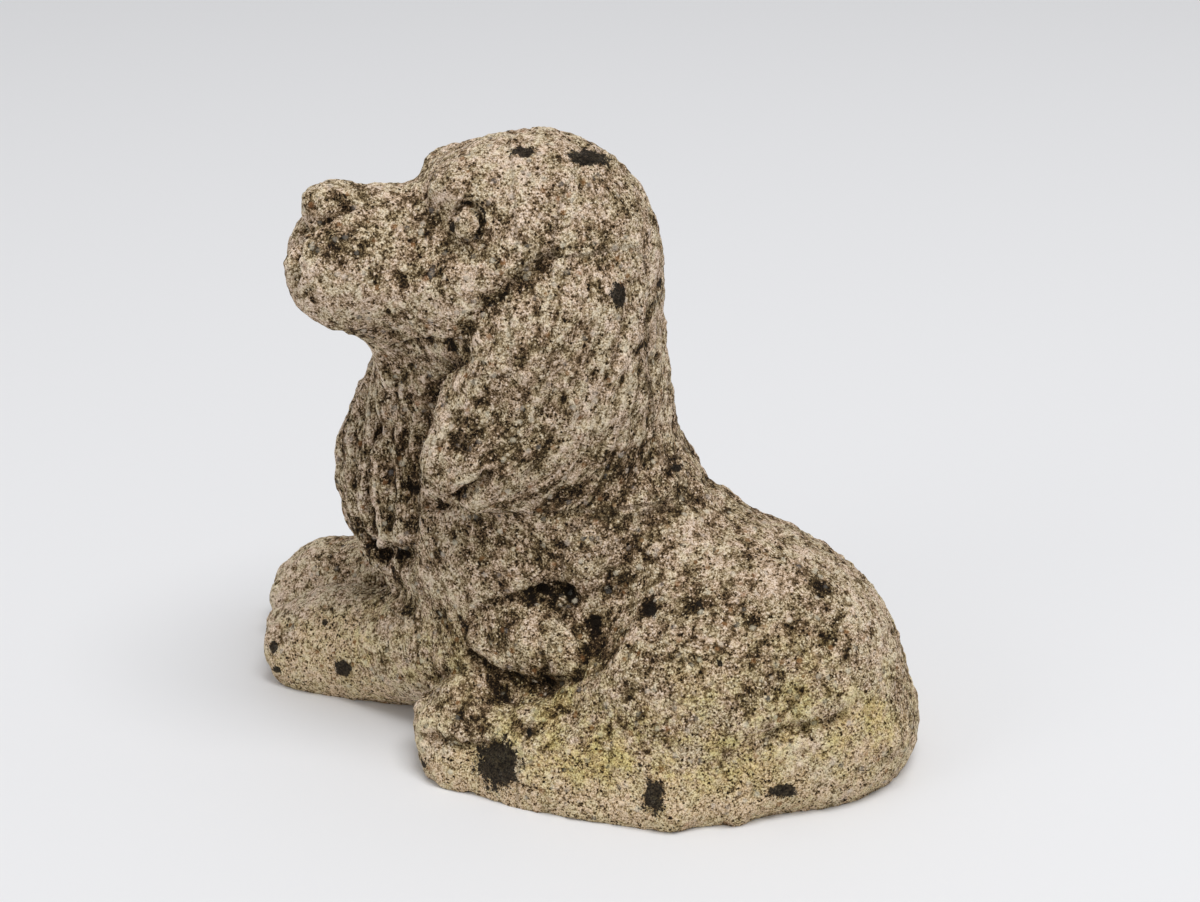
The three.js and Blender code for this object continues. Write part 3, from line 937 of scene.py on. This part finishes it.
def stoneMaterial(settings):
    paint = bpy.data.materials.new("weatheredStone")
    paint.use_nodes = True
    tree = paint.node_tree
    shader = tree.nodes["Principled BSDF"]
    make = Wire(tree)
    place = make.node("ShaderNodeTexCoord", out="Object")
    hairPlace = make.kept("hairPlace", "Vector")
    strand = make.noise(hairPlace, settings["strand"], 3.0, 0.62)
    lock = make.noise(hairPlace, settings["lock"], 3.0, 0.6)
    fine = make.noise(place, settings["fineSpeckle"], 1.5, 0.6)
    speckle = make.noise(place, settings["speckle"], 3.0, 0.7)
    mottle = make.noise(place, settings["mottle"], 4.0, 0.68)
    blotch = make.noise(place, settings["blotch"], 4.0, 0.62)
    broad = make.noise(place, settings["broadBlotch"], 3.0, 0.55)
    grain, grainTone, _ = make.cells(place, settings["grain"])
    pebble, pebbleTone, pebbleKind = make.cells(place, settings["pebble"])
    pitPlace, pitChance, _ = make.cells(place, settings["pit"])
    dirt = make.kept("dirt")
    clean = make.kept("clean")
    nook = make.kept("nook") * (1.3 + 4.0 * (mottle - 0.5) + 2.0 * (speckle - 0.5))
    hairy = make.kept("hairy")
    streaky = make.kept("streaky")
    hollowed = make.kept("hollow")

    grainTop = grain.between(0.62, 0.12)
    pebbleTop = (pebble + 0.5 * (fine - 0.5)).between(0.56, 0.22)
    pit = (pitPlace + 0.25 * (fine - 0.5)).between(0.26, 0.14) * pitChance.between(0.55, 0.62)
    tone = 0.46 + settings["grainShare"] * (grainTone - 0.45) * grainTop
    tone = tone + settings["fineShare"] * (fine - 0.5) + settings["speckleShare"] * (speckle - 0.5)
    tone = tone + settings["pebbleShare"] * (pebbleTone - 0.5) * pebbleTop
    tone = tone + (0.15 + 1.0 * hairy) * (strand - 0.5)
    crust = mottle + 0.8 * streaky * (lock - mottle) + 0.3 * (speckle - 0.5)
    crust = crust + 0.2 * (fine - 0.5) + 0.2 * (blotch - 0.5) + 0.055 * dirt
    crust = crust.between(0.53, 0.575)
    weatheredAndShaded = tone + settings["blotchShare"] * (blotch - 0.5)
    weatheredAndShaded = weatheredAndShaded + settings["broadShare"] * (broad - 0.5)
    # The crust is darker; the small pits get painted shade.
    weatheredAndShaded = weatheredAndShaded - settings["crustDark"] * crust - settings["pitShade"] * pit
    # The dirt darkens the stone, and with it the painted shade on the chest and in the hollows.
    weatheredAndShaded = weatheredAndShaded + settings["weatheredLift"] - settings["dirtAndShadeDark"] * dirt
    # Near-black painted shade in the nooks.
    weatheredAndShaded = weatheredAndShaded - settings["nookShadeDark"] * nook.between(0.15, 0.75)
    # Painted shade in hollows, and painted light on ridges.
    weatheredAndShaded = weatheredAndShaded - settings["hollowShade"] * (hollowed - 0.5)
    colour = make.node("ShaderNodeValToRGB", {"stops": settings["tones"]}, {"Fac": weatheredAndShaded})
    cleaner = settings["cleanContrast"] * tone + settings["cleanLift"] - 0.06 * crust
    # The small pits get painted shade here too.
    cleaner = cleaner + 0.25 * (mottle - 0.5) - 0.05 * dirt - 0.34 * pit
    cleanColour = make.node(
        "ShaderNodeValToRGB", {"stops": settings["cleanTones"]}, {"Fac": cleaner}
    )
    colour = make.mixed((clean + 0.9 * (blotch - 0.5)).between(0.3, 0.75), colour, cleanColour)
    palePebble = pebbleKind.between(0.945, 0.955) * pebbleTop * settings["paleShare"]
    greyPebble = pebbleKind.between(0.05, 0.04) * pebbleTop * settings["greyShare"]
    rusty = pebbleKind.between(0.40, 0.405) * pebbleKind.between(0.45, 0.445)
    rustPebble = rusty * pebbleTop * settings["rustShare"]
    colour = make.mixed(palePebble, colour, settings["paleGrain"])
    colour = make.mixed(greyPebble, colour, settings["greyGrain"])
    colour = make.mixed(rustPebble, colour, settings["rust"])
    tint = make.noise(place, settings["tint"], 3.0, 0.6)
    tinge = make.mixed(tint.between(0.4, 0.6), settings["olive"], settings["rose"])
    colour = make.mixed(1.0, colour, tinge, "MULTIPLY")
    green = make.kept("algae") * (blotch + 0.5 * (speckle - 0.5)).between(0.36, 0.64)
    greened = make.mixed(1.0, colour, settings["algae"], "MULTIPLY")
    colour = make.mixed(green * settings["algaeShare"], colour, greened)
    # Lichen spots, and the black painted shade in the eyes.
    spread = make.kept("lichen") + 1.2 * (speckle - 0.5) + 2.0 * (mottle - 0.5) + 0.9 * (fine - 0.5)
    spot = spread.between(0.46, 0.60)
    colour = make.mixed(spot * (0.95 + 0.4 * (fine - 0.5)), colour, settings["lichen"])
    bumps = 0.55 * grainTop + 0.35 * pebbleTop + 0.9 * speckle + 0.7 * fine - 0.6 * pit
    bumps = bumps + (0.3 + 1.3 * hairy) * strand
    bump = make.node("ShaderNodeBump", {}, {
        "Strength": settings["bumpStrength"],
        "Distance": settings["bumpDepth"],
        "Height": bumps,
    })
    rough = settings["roughness"] + 0.1 * (fine - 0.5) - 0.08 * palePebble
    tree.links.new(colour.socket, shader.inputs["Base Color"])
    tree.links.new(rough.socket, shader.inputs["Roughness"])
    tree.links.new(bump.socket, shader.inputs["Normal"])
    shader.inputs["Specular IOR Level"].default_value = settings["specular"]
    return paint


# The flat underside needs few faces.
def plainUnderside():
    work = bmesh.new()
    work.from_mesh(skin)
    flat = {face for face in work.faces if all(vert.co.z == 0 for vert in face.verts)}
    inner = [vert for vert in work.verts if flat.issuperset(vert.link_faces)]
    within = set(inner)
    edgesWithin = [edge for edge in work.edges if within.issuperset(edge.verts)]
    bmesh.ops.dissolve_limit(work, angle_limit=0.02, verts=inner, edges=edgesWithin)
    work.to_mesh(skin)
    work.free()


plainUnderside()
for polygon in skin.polygons:
    polygon.use_smooth = True
skin.materials.clear()
skin.materials.append(stoneMaterial(stone))
spanielCarved = bpy.data.objects.new("spanielCarved", skin)
bpy.context.scene.collection.objects.link(spanielCarved)
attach(spanielCarved, "root")
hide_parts("spaniel")
print("statue finished:", sum(len(polygon.vertices) - 2 for polygon in skin.polygons), "triangles")
